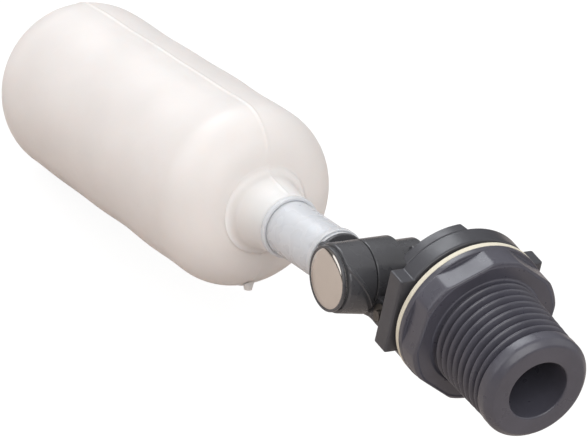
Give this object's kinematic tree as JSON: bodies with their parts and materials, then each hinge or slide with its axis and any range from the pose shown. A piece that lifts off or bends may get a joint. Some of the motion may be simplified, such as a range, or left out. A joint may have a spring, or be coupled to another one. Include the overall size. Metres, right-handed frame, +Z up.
{
  "type": "tank float valve",
  "caption": "Bulkhead float valve: threaded inlet, wrench flange, gasket and wing lock nut, with a pivoting lever, clamped knuckle, tube arm and hollow cylindrical float.",
  "frame": {"origin": "on the valve axis, at the face of the bulkhead gasket that seals on the outside of the tank wall", "axes": "+X along the valve axis into the tank, +Z up, +Y towards the polished head of the clamp screw"},
  "size_m": [0.1574, 0.0424, 0.0577],
  "materials": {
    "body_plastic": "moulded dark grey PVC, satin",
    "lever_plastic": "moulded dark grey PVC, satin",
    "plunger_plastic": "moulded acetal, satin",
    "gasket_rubber": "soft cream rubber, matt",
    "seal_rubber": "black nitrile rubber, matt",
    "polished_steel": "polished stainless steel",
    "plain_steel": "turned stainless steel",
    "tube_plastic": "translucent bluish white polyethylene tube",
    "float_plastic": "blow moulded natural polyethylene, milky"
  },
  "bodies": {
    "valve": {"valve_body": "body_plastic", "bulkhead_gasket": "gasket_rubber", "nozzle_seat": "plain_steel", "nozzle_ring": "seal_rubber", "pivot_pin": "plain_steel", "pivot_clip": "plain_steel"},
    "lock_nut": {"lock_nut": "body_plastic"},
    "plunger": {"plunger": "plunger_plastic", "seal_disc": "seal_rubber"},
    "lever": {"lever": "lever_plastic", "clamp_screw": "polished_steel", "clamp_washer": "plain_steel", "clamp_nut": "plain_steel", "lock_washer": "plain_steel"},
    "arm": {"arm_knuckle": "lever_plastic", "arm_tube": "tube_plastic", "tube_collar": "tube_plastic", "neck_collar": "tube_plastic", "float_shell": "float_plastic", "float_plug": "float_plastic"}
  },
  "joints": [
    {"name": "lever_pivot", "type": "hinge", "parent": "valve", "child": "lever", "pos_m": [0.0113, 0, -0.007], "axis": [0, -1, 0], "range_deg": [0, 15]},
    {"name": "plunger_slide", "type": "slide", "parent": "valve", "child": "plunger", "axis": [-1, 0, 0], "range_m": [0, 0.00185]},
    {"name": "knuckle_adjust", "type": "hinge", "parent": "lever", "child": "arm", "pos_m": [0.01981, 0, -0.00384], "axis": [0, -1, 0], "range_deg": [-40, 60]},
    {"name": "lock_nut_turn", "type": "hinge", "parent": "valve", "child": "lock_nut", "pos_m": [0, 0, 0], "axis": [1, 0, 0], "range_deg": [-180, 180]}
  ],
  "couplings": [
    {"joint": "plunger_slide", "follows": "lever_pivot", "m_per_rad": 0.007}
  ]
}
